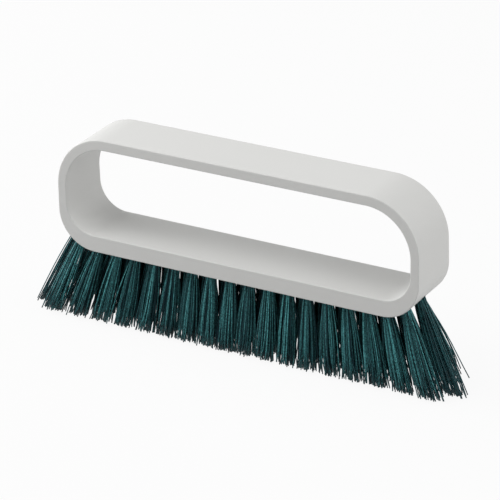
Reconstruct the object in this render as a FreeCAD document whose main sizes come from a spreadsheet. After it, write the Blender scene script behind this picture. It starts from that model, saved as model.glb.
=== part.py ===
"""Hand scrub brush: a moulded loop handle with four rows of stapled bristle tufts.

The frame has +X along the brush, +Y across it and +Z up. The origin lies in the plane of the
bristle tips, under the middle of the handle. Lengths are in millimetres, angles in degrees.
"""
import FreeCAD, Part
import math
import os
from collections import namedtuple

import Sketcher
from FreeCAD import Placement, Rotation, Vector

# Driving sizes of the brush
SIZES = {
    # Loop handle, outside
    "handle_length": 180.0,
    "handle_height": 54.5,
    "depth_at_grip": 27.4,
    "depth_at_base": 29.5,
    "corner_radius_grip": 25.2,
    "corner_radius_base": 18.0,
    "face_edge_round": 0.5,
    # Walls round the hand opening
    "grip_bar": 4.8,
    "end_wall": 4.2,
    "base_bar": 7.9,
    "opening_radius_grip": 21.3,
    "opening_radius_base": 13.5,
    "opening_edge_round": 0.5,
    "edge_round_share": 0.45,
    # Bristle field
    "bristle_drop": 34.5,
    "row_spacing": 6.2,
    "outer_row_lean_angle": 8.5,
    "inner_row_lean_angle": 5.5,
    "end_tuft_angle": 47.0,
    "end_tuft_lean_angle": 24.0,
    # One tuft and its hole
    "hole_diameter": 5.2,
    "hole_depth": 4.8,
    "tuft_clearance": 0.05,
    "tuft_neck": 1.2,
    "flare_angle": 3.0,
    "wisp_root": 0.6,
    "wisp_clearance": 0.06,
    "untrimmed_share": 1.6,
    # Flat wire anchor that the tuft is folded over
    "anchor_thickness": 0.35,
    "anchor_width": 1.8,
    "anchor_bite": 0.4,
    "fold_depth": 0.9,
}

# Places of the rows across the brush, as shares of the row spacing
INNER_PLACE_SHARE = 0.5
OUTER_PLACE_SHARE = 1.5

# Tufts in the rows: neighbouring rows differ by one, so they stand in each other's gaps
LONGEST_ROW_COUNT = 19
MIDDLE_ROW_COUNT = 18
SHORTEST_ROW_COUNT = 17

# Rows of tufts from the front of the brush to the back
Row = namedtuple("Row", "name place_share tuft_count lean_angle")
ROWS = [
    Row("front_row", -OUTER_PLACE_SHARE, MIDDLE_ROW_COUNT, "outer_row_lean_angle"),
    Row("front_inner_row", -INNER_PLACE_SHARE, LONGEST_ROW_COUNT, "inner_row_lean_angle"),
    Row("back_inner_row", INNER_PLACE_SHARE, MIDDLE_ROW_COUNT, "inner_row_lean_angle"),
    Row("back_row", OUTER_PLACE_SHARE, SHORTEST_ROW_COUNT, "outer_row_lean_angle"),
]

# Distance under which two measured places count as the same
SAME_PLACE = 1e-4


def make_sheet(document):
    """Put every driving size into its own named cell."""
    table = document.addObject("Spreadsheet::Sheet", "sizes")
    for line, (name, value) in enumerate(SIZES.items(), start=1):
        table.set(f"A{line}", name)
        table.set(f"B{line}", str(value))
        table.setAlias(f"B{line}", name)
    document.recompute()
    return table


doc = FreeCAD.newDocument("scrub_brush")
sheet = make_sheet(doc)


def size(name):
    """Read a driving size from its cell."""
    return float(sheet.get(name))


def bind(thing, **expressions):
    """Tie properties of an object to the cells of the sheet."""
    for name, expression in expressions.items():
        thing.setExpression(name, expression)


def origin_plane(body, role):
    """Find one of a body's own base planes."""
    return next(plane for plane in body.Origin.OriginFeatures if plane.Role == role)


def four_sided_sketch(body, name, role, low_width, high_width, bottom, height):
    """Draw a four-sided figure, symmetric about the vertical axis, and tie its sizes to the sheet."""
    sketch = body.newObject("Sketcher::SketchObject", name)
    sketch.AttachmentSupport = [(origin_plane(body, role), "")]
    sketch.MapMode = "FlatFace"
    low_half = size("handle_length") / 4
    high_half = low_half / 2
    corners = [
        Vector(-low_half, low_half, 0),
        Vector(low_half, low_half, 0),
        Vector(high_half, low_half + high_half, 0),
        Vector(-high_half, low_half + high_half, 0),
    ]
    for start, end in zip(corners, corners[1:] + corners[:1]):
        sketch.addGeometry(Part.LineSegment(start, end))
    for side in range(len(corners)):
        following = (side + 1) % len(corners)
        sketch.addConstraint(Sketcher.Constraint("Coincident", side, 2, following, 1))
    low_side, _, high_side, _ = range(len(corners))
    for side in (low_side, high_side):
        sketch.addConstraint(Sketcher.Constraint("Symmetric", side, 1, side, 2, -2))
    dimensions = [
        ("DistanceX", (low_side, 1, low_side, 2), low_half, low_width),
        ("DistanceX", (high_side, 2, high_side, 1), high_half, high_width),
        ("DistanceY", (-1, 1, low_side, 1), low_half, bottom),
        ("DistanceY", (low_side, 1, high_side, 2), high_half, height),
    ]
    for kind, ends, first_guess, expression in dimensions:
        number = sketch.addConstraint(Sketcher.Constraint(kind, *ends, first_guess))
        sketch.setExpression(f"Constraints[{number}]", expression)
    doc.recompute()
    return sketch


def edge_names(feature, chosen):
    """Names of the edges of a feature that a test picks."""
    return [f"Edge{number}" for number, edge in enumerate(feature.Shape.Edges, start=1) if chosen(edge)]


def round_edges(body, name, base, chosen, radius):
    """Fillet the chosen edges of a body's last feature."""
    fillet = body.newObject("PartDesign::Fillet", name)
    fillet.Base = (base, edge_names(base, chosen))
    bind(fillet, Radius=radius)
    doc.recompute()
    return fillet


def corner_at(half_length, height):
    """A test for the two straight edges across the brush at this distance from its middle and height."""
    def chosen(edge):
        middle = edge.CenterOfMass
        off_length = abs(abs(middle.x) - half_length)
        off_height = abs(middle.z - height)
        return off_length < SAME_PLACE and off_height < SAME_PLACE and abs(middle.y) < SAME_PLACE
    return chosen


def is_side_face(face):
    """True for the large flat front and back faces of the loop."""
    if not isinstance(face.Surface, Part.Plane):
        return False
    normal = face.Surface.Axis
    return abs(normal.y) > abs(normal.x) + abs(normal.z)


def wire_edges(shape, outside):
    """A test for the edges round the outside, or round the opening, of the front and back faces."""
    wanted = []
    for face in filter(is_side_face, shape.Faces):
        for wire in face.Wires:
            if wire.isSame(face.OuterWire) == outside:
                wanted.extend(wire.Edges)
    return lambda edge: any(edge.isSame(other) for other in wanted)


def make_loop():
    """The closed loop of the handle, before it is drilled."""
    body = doc.addObject("PartDesign::Body", "loop")
    block = body.newObject("PartDesign::Pad", "block")
    block.Profile = four_sided_sketch(
        body, "end_view", "YZ_Plane", "sizes.depth_at_base", "sizes.depth_at_grip",
        "sizes.bristle_drop", "sizes.handle_height",
    )
    block.Midplane = True
    bind(block, Length="sizes.handle_length")
    doc.recompute()

    opening_width = "sizes.handle_length - 2 * sizes.end_wall"
    opening = body.newObject("PartDesign::Pocket", "hand_opening")
    opening.Profile = four_sided_sketch(
        body, "opening_outline", "XZ_Plane", opening_width, opening_width,
        "sizes.bristle_drop + sizes.base_bar",
        "sizes.handle_height - sizes.base_bar - sizes.grip_bar",
    )
    opening.Midplane = True
    opening.Type = "ThroughAll"
    doc.recompute()

    half = size("handle_length") / 2
    inner_half = half - size("end_wall")
    bottom = size("bristle_drop")
    top = bottom + size("handle_height")
    floor = bottom + size("base_bar")
    roof = top - size("grip_bar")
    corners = [
        ("grip_corners", half, top, "sizes.corner_radius_grip"),
        ("base_corners", half, bottom, "sizes.corner_radius_base"),
        ("opening_grip_corners", inner_half, roof, "sizes.opening_radius_grip"),
        ("opening_base_corners", inner_half, floor, "sizes.opening_radius_base"),
    ]
    last = opening
    for name, half_length, height, radius in corners:
        last = round_edges(body, name, last, corner_at(half_length, height), radius)

    wall_limit = "sizes.end_wall * sizes.edge_round_share"
    outside_edges = wire_edges(last.Shape, outside=True)
    last = round_edges(body, "face_edges", last, outside_edges, f"min(sizes.face_edge_round; {wall_limit})")
    inside_edges = wire_edges(last.Shape, outside=False)
    round_edges(body, "opening_edges", last, inside_edges, f"min(sizes.opening_edge_round; {wall_limit})")
    return body


def underside_reach():
    """Distance along the underside, round the corner, from the middle to the outermost tuft."""
    flat_half = size("handle_length") / 2 - size("corner_radius_base")
    return flat_half + size("corner_radius_base") * math.radians(size("end_tuft_angle"))


def mouth_on_underside(along, across):
    """The point of the underside at a distance from the middle, measured along the surface."""
    radius = size("corner_radius_base")
    flat_half = size("handle_length") / 2 - radius
    turn = max(abs(along) - flat_half, 0) / radius
    from_middle = min(abs(along), flat_half) + radius * math.sin(turn)
    height = size("bristle_drop") + radius * (1 - math.cos(turn))
    return Vector(math.copysign(from_middle, along), across, height)


def tuft_frame(row, step):
    """Place of one tuft: its hole's mouth, with local +Z out of the hole and local X along the row."""
    pitch = 2 * underside_reach() / (LONGEST_ROW_COUNT - 1)
    along = step * pitch
    across = row.place_share * size("row_spacing")
    lean_share = (along / underside_reach()) ** 2
    lean = math.radians(size("end_tuft_lean_angle") * lean_share)
    row_lean = math.radians(size(row.lean_angle))
    outward = Vector(
        math.copysign(math.tan(lean), along),
        math.copysign(math.tan(row_lean), across),
        -1,
    )
    turn = Rotation(Vector(1, 0, 0), Vector(0, 0, 0), outward.normalize(), "ZXY")
    return Placement(mouth_on_underside(along, across), turn)


def steps_in_row(count):
    """Places of a row's tufts, in pitches from the middle."""
    return [number - (count - 1) / 2 for number in range(count)]


def moved_along(frame, x=0, y=0, z=0):
    """The same frame, shifted along its own axes."""
    return Placement(frame.multVec(Vector(x, y, z)), frame.Rotation)


ROOT_RADIUS = "(sizes.hole_diameter / 2 - sizes.tuft_clearance)"
UNTRIMMED = "sizes.bristle_drop * sizes.untrimmed_share"

# Seven equal six-sided wisps, one in the middle and six round it, are three wisps wide
RING_COUNT = 6
FULL_TURN = 360
RING_STEP = FULL_TURN / RING_COUNT
WISP_RADIUS_SHARE = 1 / 3
RING_RADIUS_SHARE = 2 / 3


def make_hole(name, frame):
    """Blind hole for one tuft, run out past its mouth."""
    hole = doc.addObject("Part::Cylinder", f"hole_{name}")
    bind(hole, Radius="sizes.hole_diameter / 2", Height="sizes.hole_depth + sizes.hole_diameter")
    hole.Placement = moved_along(frame, z=-size("hole_depth"))
    return hole


def make_anchor(name, frame):
    """Flat wire across the hole, with both ends bitten into its wall."""
    anchor = doc.addObject("Part::Box", f"anchor_{name}")
    bind(
        anchor,
        Length="sizes.hole_diameter + 2 * sizes.anchor_bite",
        Width="sizes.anchor_thickness",
        Height="sizes.anchor_width",
    )
    anchor.Placement = moved_along(
        frame,
        x=-(size("hole_diameter") / 2 + size("anchor_bite")),
        y=-size("anchor_thickness") / 2,
        z=size("fold_depth") - size("hole_depth"),
    )
    return anchor


def make_fold_slot(name, frame):
    """Room for the anchor inside the folded tuft."""
    slot = doc.addObject("Part::Box", f"slot_{name}")
    bind(
        slot,
        Length="sizes.hole_diameter",
        Width="sizes.anchor_thickness + 2 * sizes.tuft_clearance",
        Height="sizes.anchor_width + 2 * sizes.tuft_clearance",
    )
    slot.Placement = moved_along(
        frame,
        x=-size("hole_diameter") / 2,
        y=-(size("anchor_thickness") / 2 + size("tuft_clearance")),
        z=size("fold_depth") - size("hole_depth") - size("tuft_clearance"),
    )
    return slot


def untrimmed_length():
    """Length of the wisps before they are trimmed."""
    return size("bristle_drop") * size("untrimmed_share")


def make_trim():
    """The space under the brush that all tufts are cut back from, so that their tips lie level."""
    trim = doc.addObject("Part::Box", "tip_trim")
    bind(trim, Length="2 * sizes.handle_length", Width="sizes.handle_length", Height=UNTRIMMED)
    trim.Placement.Base = Vector(-size("handle_length"), -size("handle_length") / 2, -untrimmed_length())
    return trim


def boolean(kind, name, base, tool):
    """Join two objects, or cut one from the other."""
    result = doc.addObject(kind, name)
    result.Base = base
    result.Tool = tool
    return result


def root_radius():
    """Radius of a tuft where it fills its hole."""
    return size("hole_diameter") / 2 - size("tuft_clearance")


def ring_turns():
    """Turns that carry one place of a ring of six to each of the others."""
    return [Rotation(Vector(0, 0, 1), RING_STEP * number) for number in range(RING_COUNT)]


def wisp_frames(frame):
    """Frames of a tuft's wisps: one in the middle, and a ring round it that leans out with the flare."""
    root = moved_along(frame, z=size("tuft_neck") - size("wisp_root"))
    ring_radius = RING_RADIUS_SHARE * root_radius()
    lean = math.atan(RING_RADIUS_SHARE * math.tan(math.radians(size("flare_angle"))))
    outward = Placement(Vector(ring_radius, 0, 0), Rotation(Vector(0, 1, 0), math.degrees(lean)))
    return [root] + [root * Placement(Vector(0, 0, 0), turn) * outward for turn in ring_turns()]


def wisp_corners(bundle_radius, height):
    """Corners of a wisp's six-sided section, with a flat side towards each of its neighbours."""
    half_width = bundle_radius * WISP_RADIUS_SHARE - size("wisp_clearance")
    half_step = math.radians(RING_STEP / 2)
    corner = Vector(half_width, half_width * math.tan(half_step), height)
    return [turn.multVec(corner) for turn in ring_turns()]


def make_wisp_shape():
    """One wisp of filaments with flat sides, a little wider at its tip than at its root."""
    flare = math.tan(math.radians(size("flare_angle")))
    root = wisp_corners(root_radius(), 0)
    tip = wisp_corners(root_radius() + untrimmed_length() * flare, untrimmed_length())
    outlines = [root, tip]
    for side in range(RING_COUNT):
        following = (side + 1) % RING_COUNT
        outlines.append([root[side], root[following], tip[following], tip[side]])
    faces = [Part.Face(Part.makePolygon(outline + outline[:1])) for outline in outlines]
    return Part.makeSolid(Part.makeShell(faces))


def make_wisp(name, shape, frame):
    """One wisp in its place."""
    wisp = doc.addObject("Part::Feature", f"wisp_{name}")
    wisp.Shape = shape
    wisp.Placement = frame
    return wisp


def make_tuft(name, frame, wisp_shape, trim):
    """One bundle of filaments: a plug in its hole, folded over the anchor, and wisps trimmed level."""
    plug = doc.addObject("Part::Cylinder", f"plug_{name}")
    bind(plug, Radius=ROOT_RADIUS, Height="sizes.hole_depth - sizes.tuft_clearance + sizes.tuft_neck")
    plug.Placement = moved_along(frame, z=size("tuft_clearance") - size("hole_depth"))
    wisps = [
        make_wisp(f"{name}_{number}", wisp_shape, wisp_frame)
        for number, wisp_frame in enumerate(wisp_frames(frame), start=1)
    ]
    bundle = doc.addObject("Part::MultiFuse", f"bundle_{name}")
    bundle.Shapes = [plug, *wisps]
    folded = boolean("Part::Cut", f"folded_{name}", bundle, make_fold_slot(name, frame))
    return boolean("Part::Cut", f"tuft_{name}", folded, trim)


def group(label, members):
    """Several separate solids under one label."""
    compound = doc.addObject("Part::Compound", label)
    compound.Links = members
    return compound


def make_bristles(trim):
    """All holes, anchors and tufts, with the tufts grouped by column across the brush."""
    wisp_shape = make_wisp_shape()
    holes = []
    anchor_rows = []
    columns = {}
    for row in ROWS:
        anchors = []
        for step in steps_in_row(row.tuft_count):
            frame = tuft_frame(row, step)
            name = f"{row.name}_{len(anchors) + 1:02d}"
            holes.append(make_hole(name, frame))
            anchors.append(make_anchor(name, frame))
            columns.setdefault(step, []).append(make_tuft(name, frame, wisp_shape, trim))
        anchor_rows.append(group(f"anchors_{row.name}", anchors))
    tuft_columns = [
        group(f"tuft_column_{number:02d}", columns[step])
        for number, step in enumerate(sorted(columns), start=1)
    ]
    return holes, anchor_rows, tuft_columns


def make_handle(loop, holes, anchor_rows):
    """The loop with its tuft holes and the notches that the anchors press into its walls."""
    drilled = boolean("Part::Cut", "drilled_loop", loop, group("holes", holes))
    return boolean("Part::Cut", "handle", drilled, group("notches", anchor_rows))


def check_and_write(nodes):
    """Stop on any failed object or bad shape, then write one file for each node."""
    for thing in doc.Objects:
        if "Invalid" in thing.State or "Error" in thing.State:
            raise RuntimeError(f"{thing.Name} failed: {thing.State}")
    for node in nodes:
        if node.Shape.isNull() or not node.Shape.isValid():
            raise RuntimeError(f"{node.Label} has no valid shape")
    os.makedirs("parts", exist_ok=True)
    for node in nodes:
        node.Shape.exportStep(f"parts/{node.Label}.step")
        print(node.Label, len(node.Shape.Solids), "solids", round(node.Shape.Volume), "mm3")


loop = make_loop()
holes, anchor_rows, tuft_columns = make_bristles(make_trim())
handle = make_handle(loop, holes, anchor_rows)
doc.recompute()
check_and_write([handle] + tuft_columns + anchor_rows)
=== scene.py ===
# %% [markdown]
# # A hand scrub brush
#
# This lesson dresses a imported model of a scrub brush. The model already holds the real construction: a
# moulded loop handle, bundles of bristle set into its underside in staggered rows, and the small flat
# wires that hold each bundle in its hole. Here every bundle becomes real strands of plastic, and every
# surface gets its finish.

# %% Load the frame
import math
from collections import namedtuple

import bmesh
import bpy
import numpy as np
from mathutils import Matrix, Vector


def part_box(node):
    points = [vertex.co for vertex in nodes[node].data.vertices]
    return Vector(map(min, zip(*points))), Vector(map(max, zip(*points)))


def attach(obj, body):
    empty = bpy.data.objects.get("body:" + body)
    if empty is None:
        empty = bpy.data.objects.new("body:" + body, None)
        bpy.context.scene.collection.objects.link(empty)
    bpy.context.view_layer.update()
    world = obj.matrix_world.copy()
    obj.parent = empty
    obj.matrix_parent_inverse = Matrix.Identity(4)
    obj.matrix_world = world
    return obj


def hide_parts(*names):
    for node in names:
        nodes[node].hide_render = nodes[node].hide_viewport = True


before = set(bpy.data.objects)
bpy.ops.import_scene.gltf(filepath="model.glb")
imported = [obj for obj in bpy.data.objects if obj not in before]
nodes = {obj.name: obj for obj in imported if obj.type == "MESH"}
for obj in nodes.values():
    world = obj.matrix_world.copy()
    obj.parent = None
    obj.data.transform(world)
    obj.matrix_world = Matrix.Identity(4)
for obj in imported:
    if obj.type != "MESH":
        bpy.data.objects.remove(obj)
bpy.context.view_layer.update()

tuft_nodes = sorted(name for name in nodes if name.startswith("tuft_column_"))
anchor_nodes = sorted(name for name in nodes if name.startswith("anchors_"))
scene = bpy.context.scene
print("loaded", len(nodes), "nodes:", len(tuft_nodes), "tuft columns,", len(anchor_nodes), "anchor rows")

# The frame is in metres
MM = 0.001

# %% [markdown]
# ## Node helpers
#
# A shader is a small graph. Building it by hand takes three steps for each node: make it, set its plain
# values, and link it. One helper does all three, so that each material below reads as a list of what
# feeds what.


# %% Helpers for shader graphs
def set_sockets(tree, node, sockets):
    """Give each named input a plain value, or a link where the value is another node's output."""
    for name, given in sockets.items():
        if isinstance(given, bpy.types.NodeSocket):
            tree.links.new(given, node.inputs[name])
        else:
            node.inputs[name].default_value = given


def add_node(tree, kind, sockets=None, **settings):
    """Make a node, choose its settings, and feed its inputs."""
    node = tree.nodes.new(kind)
    for name, value in settings.items():
        setattr(node, name, value)
    set_sockets(tree, node, sockets or {})
    return node


def calculate(tree, operation, first, second):
    """The result of a sum on two numbers."""
    return add_node(tree, "ShaderNodeMath", {0: first, 1: second}, operation=operation).outputs["Value"]


def new_group(name, inputs, output):
    """A shader group: what it is given, and where its one result goes."""
    tree = bpy.data.node_groups.new(name, "ShaderNodeTree")
    for label, kind in inputs.items():
        tree.interface.new_socket(label, in_out="INPUT", socket_type=kind)
    label, kind = output
    tree.interface.new_socket(label, in_out="OUTPUT", socket_type=kind)
    given = tree.nodes.new("NodeGroupInput").outputs
    result = tree.nodes.new("NodeGroupOutput").inputs[label]
    return tree, given, result


def new_material(name):
    """A material with its shader and output already joined."""
    material = bpy.data.materials.new(name)
    material.use_nodes = True
    tree = material.node_tree
    return material, tree, tree.nodes["Principled BSDF"]


def add_group(tree, group, sockets):
    """Place a shared group in a material and feed its inputs. Its one result comes back."""
    return add_node(tree, "ShaderNodeGroup", sockets, node_tree=group).outputs[0]


print("helpers ready")

# %% [markdown]
# ## Two effects that several materials share
#
# No surface is one flat colour: pigment mixes unevenly and metal tarnishes unevenly, so the tone drifts a
# little from place to place. Most surfaces also have a fine grain. A moulding copies it from its blasted
# tool, which is what makes it satin and not glossy. Both could be painted, but noise in the object's own
# coordinates needs no unwrapping and stays put when the camera moves. They are groups, so each material
# can set its own strength.

# %% Tone drift and fine grain
NOISE_MIDDLE = 0.5


def object_noise(tree, scale, detail):
    """Noise in the object's own coordinates, from 0 to 1."""
    place = tree.nodes.new("ShaderNodeTexCoord").outputs["Object"]
    noise = add_node(tree, "ShaderNodeTexNoise", {"Vector": place, "Scale": scale, "Detail": detail})
    return noise.outputs["Fac"]


def make_tone_drift():
    """Lightens and darkens a colour slowly over the surface."""
    inputs = {"Colour": "NodeSocketColor", "Amount": "NodeSocketFloat", "Scale": "NodeSocketFloat"}
    tree, given, result = new_group("tone_drift", inputs, ("Colour", "NodeSocketColor"))
    noise = object_noise(tree, given["Scale"], detail=2.0)
    off_middle = calculate(tree, "SUBTRACT", noise, NOISE_MIDDLE)
    swing = calculate(tree, "MULTIPLY", off_middle, given["Amount"])
    share = calculate(tree, "ADD", swing, 1.0)
    toned = add_node(tree, "ShaderNodeVectorMath", {0: given["Colour"], "Scale": share}, operation="SCALE")
    tree.links.new(toned.outputs["Vector"], result)
    return tree


def make_fine_grain():
    """Height of a fine blasted texture, for a Bump node."""
    inputs = {"Scale": "NodeSocketFloat"}
    tree, given, result = new_group("fine_grain", inputs, ("Height", "NodeSocketFloat"))
    tree.links.new(object_noise(tree, given["Scale"], detail=3.0), result)
    return tree


tone_drift = make_tone_drift()
fine_grain = make_fine_grain()
print("shared groups:", tone_drift.name, fine_grain.name)

# %% [markdown]
# ## Handle plastic
#
# The loop is one moulding in a light, almost neutral grey. It is satin: broad soft highlights, no mirror
# images. A picture of plastic could be wrapped round it, but it would have to bend round every corner of
# the loop. A Principled shader with a fairly high roughness and a faint grain in the normal gives the
# same finish everywhere, with no seam.

# %% Make the handle's finish
HANDLE_GREY = (0.585, 0.585, 0.572, 1)


def make_handle_plastic():
    """Light grey satin plastic."""
    material, tree, shader = new_material("handle_plastic")
    grain = add_group(tree, fine_grain, {"Scale": 2600.0})
    bump = add_node(tree, "ShaderNodeBump", {"Height": grain, "Strength": 0.06, "Distance": 0.05 * MM})
    set_sockets(tree, shader, {
        "Base Color": add_group(tree, tone_drift, {"Colour": HANDLE_GREY, "Amount": 0.05, "Scale": 14.0}),
        "Normal": bump.outputs["Normal"],
        "Roughness": 0.52,
        "Specular IOR Level": 0.35,
    })
    return material


def dress(thing, material):
    """Give an object one material in place of those it came with."""
    thing.data.materials.clear()
    thing.data.materials.append(material)


handle_plastic = make_handle_plastic()
dress(nodes["handle"], handle_plastic)
print("handle finish:", handle_plastic.name)

# %% [markdown]
# ## Anchor wire
#
# Each bundle is folded over a short flat wire, driven into the bottom of its hole. The wires are hidden
# when the brush is whole, but they are part of it, so they get a drawn-metal finish. Scratches along each
# wire would be truer still, but nobody could see them on a wire this small: full Metallic, a medium
# roughness and the two shared effects are enough.

# %% Make the anchors' finish
WIRE_GREY = (0.62, 0.61, 0.58, 1)


def make_anchor_wire():
    """Bright drawn wire."""
    material, tree, shader = new_material("anchor_wire")
    grain = add_group(tree, fine_grain, {"Scale": 6000.0})
    bump = add_node(tree, "ShaderNodeBump", {"Height": grain, "Strength": 0.1, "Distance": 0.02 * MM})
    set_sockets(tree, shader, {
        "Base Color": add_group(tree, tone_drift, {"Colour": WIRE_GREY, "Amount": 0.2, "Scale": 900.0}),
        "Normal": bump.outputs["Normal"],
        "Metallic": 1.0,
        "Roughness": 0.38,
    })
    return material


anchor_wire = make_anchor_wire()
for name in anchor_nodes:
    dress(nodes[name], anchor_wire)
print("anchor finish on", len(anchor_nodes), "rows")

# %% [markdown]
# ## Bristle plastic
#
# The strands are extruded plastic, dyed dark teal. Seen together, some look almost black and some catch
# the light, and a bundle of identical strands would look like one solid. A few materials could be dealt
# out among them, but the step from one to the next would show. So every strand carries a tone between 0
# and 1 on its vertices, and one material mixes a teal in painted shade and a teal in painted light by it:
# the spread from strand to strand is painted light and shade. A fine noise flecks the tone with painted
# light and shade, standing in for the light that the tiny waves of a drawn filament catch.

# %% Make the strands' finish
# The dark teal dye, once in painted shade and once in painted light; the strands mix the two
PAINTED_SHADE_TEAL = (0.0, 0.014, 0.021, 1)
PAINTED_LIT_TEAL = (0.1, 0.37, 0.385, 1)
STRAND_TONE_AND_SHADE = "strand_tone_and_painted_shade"
# Fine flecks of painted light and shade along the strands
CRIMP_LIGHT_AND_SHADE_SCALE = 1500.0
CRIMP_LIGHT_AND_SHADE = {"From Min": 0.35, "From Max": 0.65, "To Min": 0.35, "To Max": 1.4}


def make_bristle_plastic():
    """Dark teal plastic, with its tone, painted light and shade included, taken from the strand."""
    material, tree, shader = new_material("bristle_plastic")
    # The strand's tone carries its painted light and shade
    tone = add_node(tree, "ShaderNodeAttribute", attribute_name=STRAND_TONE_AND_SHADE).outputs["Fac"]
    # Flecks of painted light and shade, from a fine noise
    noise = object_noise(tree, CRIMP_LIGHT_AND_SHADE_SCALE, detail=1.0)
    crimp_light_and_shade = add_node(tree, "ShaderNodeMapRange", {"Value": noise, **CRIMP_LIGHT_AND_SHADE})
    tone_with_crimp_light = calculate(tree, "MULTIPLY", tone, crimp_light_and_shade.outputs["Result"])
    mixed = {"Factor": tone_with_crimp_light, "A": PAINTED_SHADE_TEAL, "B": PAINTED_LIT_TEAL}
    dye = add_node(tree, "ShaderNodeMix", mixed, data_type="RGBA")
    set_sockets(tree, shader, {
        "Base Color": dye.outputs["Result"],
        "Roughness": 0.32,
        "Specular IOR Level": 0.15,
    })
    return material


bristle_plastic = make_bristle_plastic()
print("bristle finish:", bristle_plastic.name)

# %% [markdown]
# ## Where the tufts stand
#
# Every tuft is a closed solid in the frame: a plug in its hole, and seven wisps that fan out of it and
# end in the plane of the tips. So its place can be measured instead of being typed again. The largest
# flat surface that looks up is the tuft's end in the bottom of the hole, together with the floor of the
# slot that the wire lies in. It faces back along the tuft's axis, and its highest part is the end itself.
# The plug's other end faces along the axis, and is the neck that the wisps grow from. The flat ends of
# the wisps lie in the plane of the tips, and are not joined to each other there.

# %% Measure the tufts
WELD = 0.001 * MM
SAME_PLACE = 0.005 * MM
WISP_ORDER_STEP = 0.6 * MM
HEADING_DIGITS = 3
# Least share of a face's normal that points up, or along the tuft
LOOKS_UP = 0.5
FACES_ALONG = 0.9999

Wisp = namedtuple("Wisp", "offset radius")
Tuft = namedtuple("Tuft", "bottom tip axis neck root_radius tip_radius wisps")


def islands(vertices):
    """Groups of vertices that edges join, with no edge from one group to another."""
    left = set(vertices)
    found = []
    while left:
        waiting = [left.pop()]
        island = set(waiting)
        while waiting:
            vertex = waiting.pop()
            joined = {edge.other_vert(vertex) for edge in vertex.link_edges} & left
            left -= joined
            island |= joined
            waiting.extend(joined)
        found.append(island)
    return found


def faces_of(solid):
    """All faces that a solid's vertices belong to."""
    return {face for vertex in solid for face in vertex.link_faces}


def end_in_hole(solid):
    """The tuft's axis, and how far along it the end in the hole lies."""
    flats = {}
    for face in faces_of(solid):
        if face.normal.z > LOOKS_UP:
            heading = tuple(round(value, HEADING_DIGITS) for value in face.normal)
            flats.setdefault(heading, []).append(face)
    largest = max(flats.values(), key=lambda flat: sum(face.calc_area() for face in flat))
    axis = -sum((face.normal * face.calc_area() for face in largest), Vector()).normalized()
    return axis, min(axis.dot(corner.co) for face in largest for corner in face.verts)


def middle_and_radius(points):
    """The middle of a ring of points, and how far they reach from it."""
    low = Vector(map(min, zip(*points)))
    high = Vector(map(max, zip(*points)))
    width = high - low
    return (low + high) / 2, min(width.x, width.y) / 2


def measure_tuft(solid):
    """Read a tuft's axis, neck and wisps from its solid."""
    axis, level = end_in_hole(solid)
    rim = [vertex.co for vertex in solid if abs(axis.dot(vertex.co) - level) < SAME_PLACE]
    bottom, _ = middle_and_radius(rim)
    root_radius = max((point - bottom).length for point in rim)
    plug_end = [face for face in faces_of(solid) if face.normal.dot(axis) > FACES_ALONG]
    neck = max(axis.dot(face.verts[0].co - bottom) for face in plug_end)
    tip = bottom - axis * (bottom.z / axis.z)
    wisps = []
    for island in islands(vertex for vertex in solid if vertex.co.z < SAME_PLACE):
        middle, radius = middle_and_radius([vertex.co for vertex in island])
        wisps.append(Wisp(middle - tip, radius))
    wisps.sort(key=lambda wisp: [round(share / WISP_ORDER_STEP) for share in wisp.offset])
    reaches = sorted(wisp.offset.length + wisp.radius for wisp in wisps)
    tip_radius = reaches[len(reaches) // 2]
    return Tuft(bottom, tip, axis, neck, root_radius, tip_radius, wisps)


def tufts_of(node_name):
    """The tufts of one node, from the front of the brush to the back."""
    shape = bmesh.new()
    shape.from_mesh(nodes[node_name].data)
    bmesh.ops.remove_doubles(shape, verts=shape.verts, dist=WELD)
    found = sorted(map(measure_tuft, islands(shape.verts)), key=lambda tuft: tuft.bottom.y)
    shape.free()
    return found


tufts = {name: tufts_of(name) for name in tuft_nodes}
all_tufts = [tuft for found in tufts.values() for tuft in found]
wisp_count = sum(len(tuft.wisps) for tuft in all_tufts)
print("measured", len(all_tufts), "tufts with", wisp_count, "wisps; neck",
      round(all_tufts[0].neck / MM, 2), "mm from the bottom of the hole")

# %% [markdown]
# ## Strands
#
# A bundle holds a few dozen strands. They could be a hair system, but hair is no mesh and is lost when
# the model leaves Blender, so each strand is a thin tube of its own. The strands leave the hole side by
# side and fan out just under it, because nothing holds them together any more, then run on almost in line
# with the tuft. A sunflower spiral spreads them evenly in each wisp, and a seeded random generator adds
# the disorder of a real brush: uneven bends, curled tips, a few strays, and outer strands that end a
# little short.

# %% Place the ends of the strands
STRANDS_PER_WISP = 9
STRAND_RADIUS = 0.25 * MM
GOLDEN_ANGLE = math.pi * (3 - math.sqrt(5))
# How far the tips spread, against the wisps of the solid
WISP_SPREAD_SHARE = 1.3
SPLAY_SHARE = 1.05
# Disorder of the places in a wisp, of the tips, and of a few stray tips
SPOT_DISORDER_SHARE = 0.1
TIP_DISORDER = 0.4 * MM
STRAY_CHANCE = 0.03
STRAY_DISORDER = 1.5 * MM


def spots_in_disc(random, count):
    """Even places in a unit disc, with a little disorder."""
    index = np.arange(count) + 0.5
    reach = np.sqrt(index / count)
    turn = index * GOLDEN_ANGLE
    spots = np.stack([reach * np.cos(turn), reach * np.sin(turn)], axis=1)
    return spots + random.normal(0, SPOT_DISORDER_SHARE, spots.shape)


def across_axis(axis):
    """Two directions square to an axis and to each other."""
    first = np.cross(axis, (0.0, 1.0, 0.0))
    first /= np.linalg.norm(first)
    return np.stack([first, np.cross(axis, first)])


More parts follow.
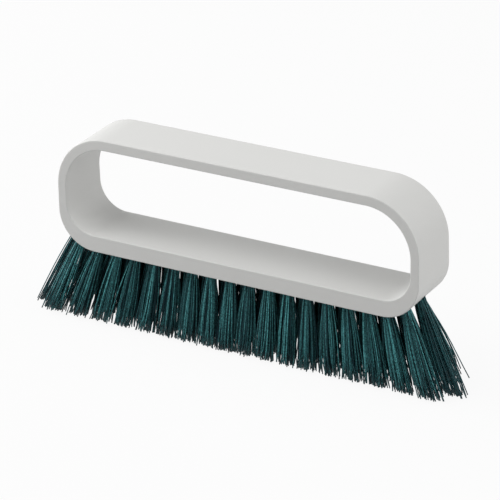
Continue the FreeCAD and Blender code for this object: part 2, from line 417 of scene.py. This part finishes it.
def strand_ends(tuft, across, random):
    """The roots of a tuft's strands, and their places in the plane of the tips, from its axis."""
    narrowing = (tuft.root_radius - STRAND_RADIUS) / tuft.tip_radius
    roots = []
    tips = []
    for wisp in tuft.wisps:
        middle = across @ np.array(wisp.offset)
        spots = spots_in_disc(random, STRANDS_PER_WISP) * wisp.radius
        strays = random.random((STRANDS_PER_WISP, 1)) < STRAY_CHANCE
        disorder = random.normal(0, 1, spots.shape) * np.where(strays, STRAY_DISORDER, TIP_DISORDER)
        roots.append((middle + spots) * narrowing)
        tips.append((middle + spots * WISP_SPREAD_SHARE) * SPLAY_SHARE + disorder)
    return np.concatenate(roots) @ across, np.concatenate(tips) @ across


print("strands in one tuft:", STRANDS_PER_WISP * len(all_tufts[0].wisps))

# %% [markdown]
# ## The run of a strand
#
# Between its ends a strand is bent, not straight. It could follow any curve, but one with a single
# control point has just the two ends and one bend to set. The control lies half-way down and already out
# at the side, so the strand spreads early and ends in line with the tuft. A small bow and a curl that
# grows quickly towards the tip come on top. Then a tube of a few flat sides goes round each line,
# smooth-shaded so that it looks round.

# %% Run the strands and give them thickness
STRAND_SIDES = 5
CURVE_STEPS = 8
ROOT_INSET = 2.8 * MM
# Bends: how early a strand spreads, its bow, and the level curl of its tip
FAN_SHARE = 1.0
BOW = 0.3 * MM
TIP_CURL = 0.8 * MM
CURL_POWER = 6
LEVEL = (1, 1, 0)
# How far strands end short of the floor, most of all on the outer side
UNEVEN_TRIM = 0.6 * MM
UNEVEN_TRIM_POWER = 2
OUTER_TRIM = 5.0 * MM
LEAST_TRIM_SHARE = 0.5


def outwardness(tuft, tips):
    """How far each tip lies on the tuft's side away from the middle of the brush, from 0 to 1."""
    outward = math.copysign(1, tuft.bottom.y)
    return np.clip(outward * tips[:, 1] / tuft.tip_radius, 0, 1)


def bent_line(starts, controls, ends, step):
    """Places on the curves from starts to ends that bend towards their controls."""
    return starts * (1 - step) ** 2 + controls * 2 * step * (1 - step) + ends * step ** 2


def strand_lines(tuft, across, random):
    """The middle lines of a tuft's strands, as an array of strand, step and coordinate."""
    axis = np.array(tuft.axis)
    roots, tips = strand_ends(tuft, across, random)
    count = len(roots)
    outer_trim = random.uniform(LEAST_TRIM_SHARE, 1, count) * outwardness(tuft, tips) * OUTER_TRIM
    trim = STRAND_RADIUS + random.random(count) ** UNEVEN_TRIM_POWER * UNEVEN_TRIM + outer_trim

    fan = tips - roots
    roots = roots + np.array(tuft.bottom)
    necks = roots + axis * tuft.neck
    tips = tips + np.array(tuft.tip)
    tips = tips - axis * (tips[:, 2] / axis[2])[:, None]
    length = np.linalg.norm(tips - necks, axis=1)[:, None]
    controls = necks + axis * length / 2 + fan * FAN_SHARE
    bows = random.normal(0, BOW, (count, 2)) @ across
    curls = random.normal(0, TIP_CURL, (count, 3)) * LEVEL
    kept_share = 1 - trim / necks[:, 2]

    lines = [roots + axis * ROOT_INSET]
    for place in np.linspace(0, 1, CURVE_STEPS):
        step = (place * kept_share)[:, None]
        curve = bent_line(necks, controls, tips, step)
        lines.append(curve + bows * np.sin(math.pi * step) + curls * place ** CURL_POWER)
    return np.stack(lines, axis=1)


def strand_tubes(lines, across, random):
    """Vertices and faces of a tube round every middle line, closed at both ends."""
    strands, steps, _ = lines.shape
    full_turn = 2 * math.pi
    turns = random.random((strands, 1)) * full_turn + np.arange(STRAND_SIDES) * full_turn / STRAND_SIDES
    ring = np.stack([np.cos(turns), np.sin(turns)], axis=2) @ across * STRAND_RADIUS
    vertices = (lines[:, :, None, :] + ring[:, None, :, :]).reshape(-1, 3)
    faces = []
    for strand in range(strands):
        first = strand * steps * STRAND_SIDES
        for step in range(steps - 1):
            low = first + step * STRAND_SIDES
            high = low + STRAND_SIDES
            for side in range(STRAND_SIDES):
                following = (side + 1) % STRAND_SIDES
                faces.append((low + side, low + following, high + following, high + side))
        end = first + (steps - 1) * STRAND_SIDES
        faces.append(tuple(range(end, end + STRAND_SIDES)))
        faces.append(tuple(range(first + STRAND_SIDES - 1, first - 1, -1)))
    return vertices, faces


print("sides on one strand:", CURVE_STEPS * STRAND_SIDES)

# %% [markdown]
# ## One piece for each column
#
# The solids of one column across the brush share a node, so the strands of one column are one piece. A
# piece for each strand would be truer to life, but thousands of objects are slow to handle. The piece
# takes the node's place on show, and the node stays behind it for contact. Strands near the middle of the
# brush get a painted shade, because little light comes in between the rows, and all tips get a painted
# shade too.

# %% Make the strands of every column
TONE_POWER = 1.3
# Painted shade towards the middle rows, and towards the tips
INNER_PAINTED_SHADE = 0.8
TIP_PAINTED_SHADE = 0.7
TIP_PAINTED_SHADE_POWER = 5
SIDE_CORNERS = 4
field_half = max(abs(tuft.bottom.y) for tuft in all_tufts)


def tones_with_painted_shade(tuft, strands, steps, random):
    """A tone for each vertex of a tuft's strands, with painted shade in the middle rows and at the tips.
    """
    # Painted shade: lower tones in the middle rows and near the tips
    depth_share = 1 - abs(tuft.bottom.y) / field_half
    tone = random.random(strands) ** TONE_POWER * (1 - INNER_PAINTED_SHADE * depth_share)
    along = 1 - TIP_PAINTED_SHADE * np.linspace(0, 1, steps) ** TIP_PAINTED_SHADE_POWER
    return np.repeat(np.outer(tone, along), STRAND_SIDES)


def strand_mesh(name, standing, random):
    """All strands of the tufts that stand together, as one mesh."""
    vertices = []
    faces = []
    tones = []
    for tuft in standing:
        across = across_axis(np.array(tuft.axis))
        lines = strand_lines(tuft, across, random)
        strands, steps, _ = lines.shape
        points, sides = strand_tubes(lines, across, random)
        offset = sum(len(block) for block in vertices)
        vertices.append(points)
        faces.extend(tuple(corner + offset for corner in face) for face in sides)
        tones.append(tones_with_painted_shade(tuft, strands, steps, random))
    mesh = bpy.data.meshes.new(name)
    mesh.from_pydata(np.concatenate(vertices).tolist(), [], faces)
    mesh.attributes.new(STRAND_TONE_AND_SHADE, "FLOAT", "POINT").data.foreach_set("value", np.concatenate(tones))
    smooth = [len(polygon.vertices) == SIDE_CORNERS for polygon in mesh.polygons]
    mesh.polygons.foreach_set("use_smooth", smooth)
    return mesh


def make_column(node_name, seed):
    """The strands of one column as a piece that replaces the column's solids."""
    name = node_name.replace("tuft_column", "strands_column")
    mesh = strand_mesh(name, tufts[node_name], np.random.default_rng(seed))
    mesh.materials.append(bristle_plastic)
    piece = bpy.data.objects.new(name, mesh)
    scene.collection.objects.link(piece)
    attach(piece, "root")
    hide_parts(node_name)
    return piece


columns = [make_column(name, seed) for seed, name in enumerate(tuft_nodes, start=1)]
print("made", len(columns), "columns with", sum(len(piece.data.polygons) for piece in columns), "faces")

# %% [markdown]
# ## Floor
#
# The brush stands on its tips on a white sheet, as in a product photograph. A sheet that is lit plainly
# renders grey, and lamps strong enough to whiten it would wash out the handle. So most of what the camera
# sees of it is a white glow, and the rest is its real shading, which keeps a soft shadow. The glow shows
# only to the camera and in reflections, so it adds nothing to the soft light on the brush.

# %% Make the floor
FLOOR_HALF = 4.0
FLOOR_WHITE = (0.6, 0.6, 0.6, 1)
PAPER_GLOW_SHARE = 0.92


def looked_at(tree):
    """1 for rays from the camera, straight or by way of a mirror or glass, and 0 for all others."""
    path = tree.nodes.new("ShaderNodeLightPath").outputs
    mirrored = calculate(tree, "MAXIMUM", path["Is Glossy Ray"], path["Is Transmission Ray"])
    return calculate(tree, "MAXIMUM", path["Is Camera Ray"], mirrored)


def make_floor_material():
    """White paper that keeps a trace of its shading."""
    material, tree, shader = new_material("white_paper")
    set_sockets(tree, shader, {
        "Base Color": add_group(tree, tone_drift, {"Colour": FLOOR_WHITE, "Amount": 0.01, "Scale": 3.0}),
        "Roughness": 0.9,
        "Specular IOR Level": 0.1,
    })
    glow = add_node(tree, "ShaderNodeEmission")
    shown = add_node(tree, "ShaderNodeMixShader", {
        0: calculate(tree, "MULTIPLY", looked_at(tree), PAPER_GLOW_SHARE),
        1: shader.outputs["BSDF"],
        2: glow.outputs["Emission"],
    })
    set_sockets(tree, tree.nodes["Material Output"], {"Surface": shown.outputs["Shader"]})
    return material


def make_floor():
    """A wide flat sheet under the brush, which is no part of it."""
    mesh = bpy.data.meshes.new("paper_floor")
    corners = [(x * FLOOR_HALF, y * FLOOR_HALF, 0) for x, y in ((-1, -1), (1, -1), (1, 1), (-1, 1))]
    mesh.from_pydata(corners, [], [(0, 1, 2, 3)])
    mesh.materials.append(make_floor_material())
    floor = bpy.data.objects.new("paper_floor", mesh)
    scene.collection.objects.link(floor)
    return floor


floor = make_floor()
print("floor", 2 * FLOOR_HALF, "m wide")

# %% [markdown]
# ## Light
#
# The light is soft and plain. A single lamp would leave one end wall of the loop dark, so there are four
# square ones. One stands high over the left front and lights the top of the loop. Two stand low at the
# ends, the left one stronger, and show the depth of the end walls. A weak one fills in from the back
# right, and a pale surround keeps the shadows open. Their powers, in watts, give the handle the tones
# that it has in the photograph.

# %% Make the light
SURROUND_STRENGTH = 0.3
SOFTBOX_WIDTH = 1.0
SOFTBOX_DISTANCE = 1.3
loop_low, loop_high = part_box("handle")
loop_centre = (loop_low + loop_high) / 2


def make_surround():
    """A pale surround that lights evenly, and is plain white where it is looked at."""
    world = bpy.data.worlds.new("studio")
    scene.world = world
    world.use_nodes = True
    tree = world.node_tree
    strength = add_node(tree, "ShaderNodeMapRange", {
        "Value": looked_at(tree), "To Min": SURROUND_STRENGTH, "To Max": 1.0,
    })
    set_sockets(tree, tree.nodes["Background"], {
        "Color": (1, 1, 1, 1), "Strength": strength.outputs["Result"],
    })


def from_brush(turn, lift):
    """A direction out of the brush, by its turn from the front to the right and its lift from level."""
    turn = math.radians(turn)
    lift = math.radians(lift)
    return Vector((math.sin(turn) * math.cos(lift), -math.cos(turn) * math.cos(lift), math.sin(lift)))


def make_lamp(name, turn, lift, power):
    """A square soft lamp that faces the brush."""
    light = bpy.data.lights.new(name, "AREA")
    light.shape = "SQUARE"
    light.size = SOFTBOX_WIDTH
    light.energy = power
    lamp = bpy.data.objects.new(name, light)
    lamp.location = from_brush(turn, lift) * SOFTBOX_DISTANCE
    lamp.rotation_mode = "QUATERNION"
    lamp.rotation_quaternion = (loop_centre - lamp.location).to_track_quat("-Z", "Y")
    scene.collection.objects.link(lamp)
    return lamp


make_surround()
lamps = [
    make_lamp("high_softbox", turn=315, lift=65, power=11.2),
    make_lamp("left_softbox", turn=270, lift=20, power=12.0),
    make_lamp("right_softbox", turn=90, lift=20, power=6.0),
    make_lamp("back_softbox", turn=135, lift=20, power=3.0),
]
print("lamps:", [lamp.name for lamp in lamps])

# %% [markdown]
# ## Camera
#
# The photograph was taken with a long lens from the right and above. A camera can be set by eye, but then
# every later judgement of shape is a guess too. Here the angle, the distance and the lens come from
# fitting the loop's outline, and the camera is aimed so that the middle of the loop lands on the pixel
# where the photograph has it.

# %% Place the camera
# The photograph, in pixels
IMAGE_SIDE = 500
LOOP_CENTRE_PIXEL = (249.1, 214.0)
FOCAL_PIXELS = 3020.1
# The camera's place, in degrees and metres
CAMERA_TURN = 30.47
CAMERA_LIFT = 24.4
CAMERA_ROLL = -1.6
CAMERA_DISTANCE = 1.3146


def make_camera():
    """The photograph's camera, aimed beside the middle of the loop."""
    lens = bpy.data.cameras.new("photo_camera")
    lens.lens = FOCAL_PIXELS / IMAGE_SIDE * lens.sensor_width
    camera = bpy.data.objects.new("photo_camera", lens)
    scene.collection.objects.link(camera)
    scene.camera = camera

    back = from_brush(CAMERA_TURN, CAMERA_LIFT)
    level = Vector((-back.y, back.x, 0)).normalized()
    right = Matrix.Rotation(math.radians(CAMERA_ROLL), 3, back) @ level
    up = back.cross(right)
    eye = loop_centre + back * CAMERA_DISTANCE
    pixel = CAMERA_DISTANCE / FOCAL_PIXELS
    off_right = LOOP_CENTRE_PIXEL[0] - IMAGE_SIDE / 2
    off_down = LOOP_CENTRE_PIXEL[1] - IMAGE_SIDE / 2
    aim = loop_centre - right * off_right * pixel + up * off_down * pixel

    back = (eye - aim).normalized()
    right = (right - back * right.dot(back)).normalized()
    up = back.cross(right)
    turn = Matrix((right, up, back)).transposed()
    camera.matrix_world = Matrix.Translation(eye) @ turn.to_4x4()
    return camera


camera = make_camera()
scene.view_settings.view_transform = "Standard"
print("camera lens", round(camera.data.lens, 1), "mm at", round(CAMERA_DISTANCE, 3), "m")
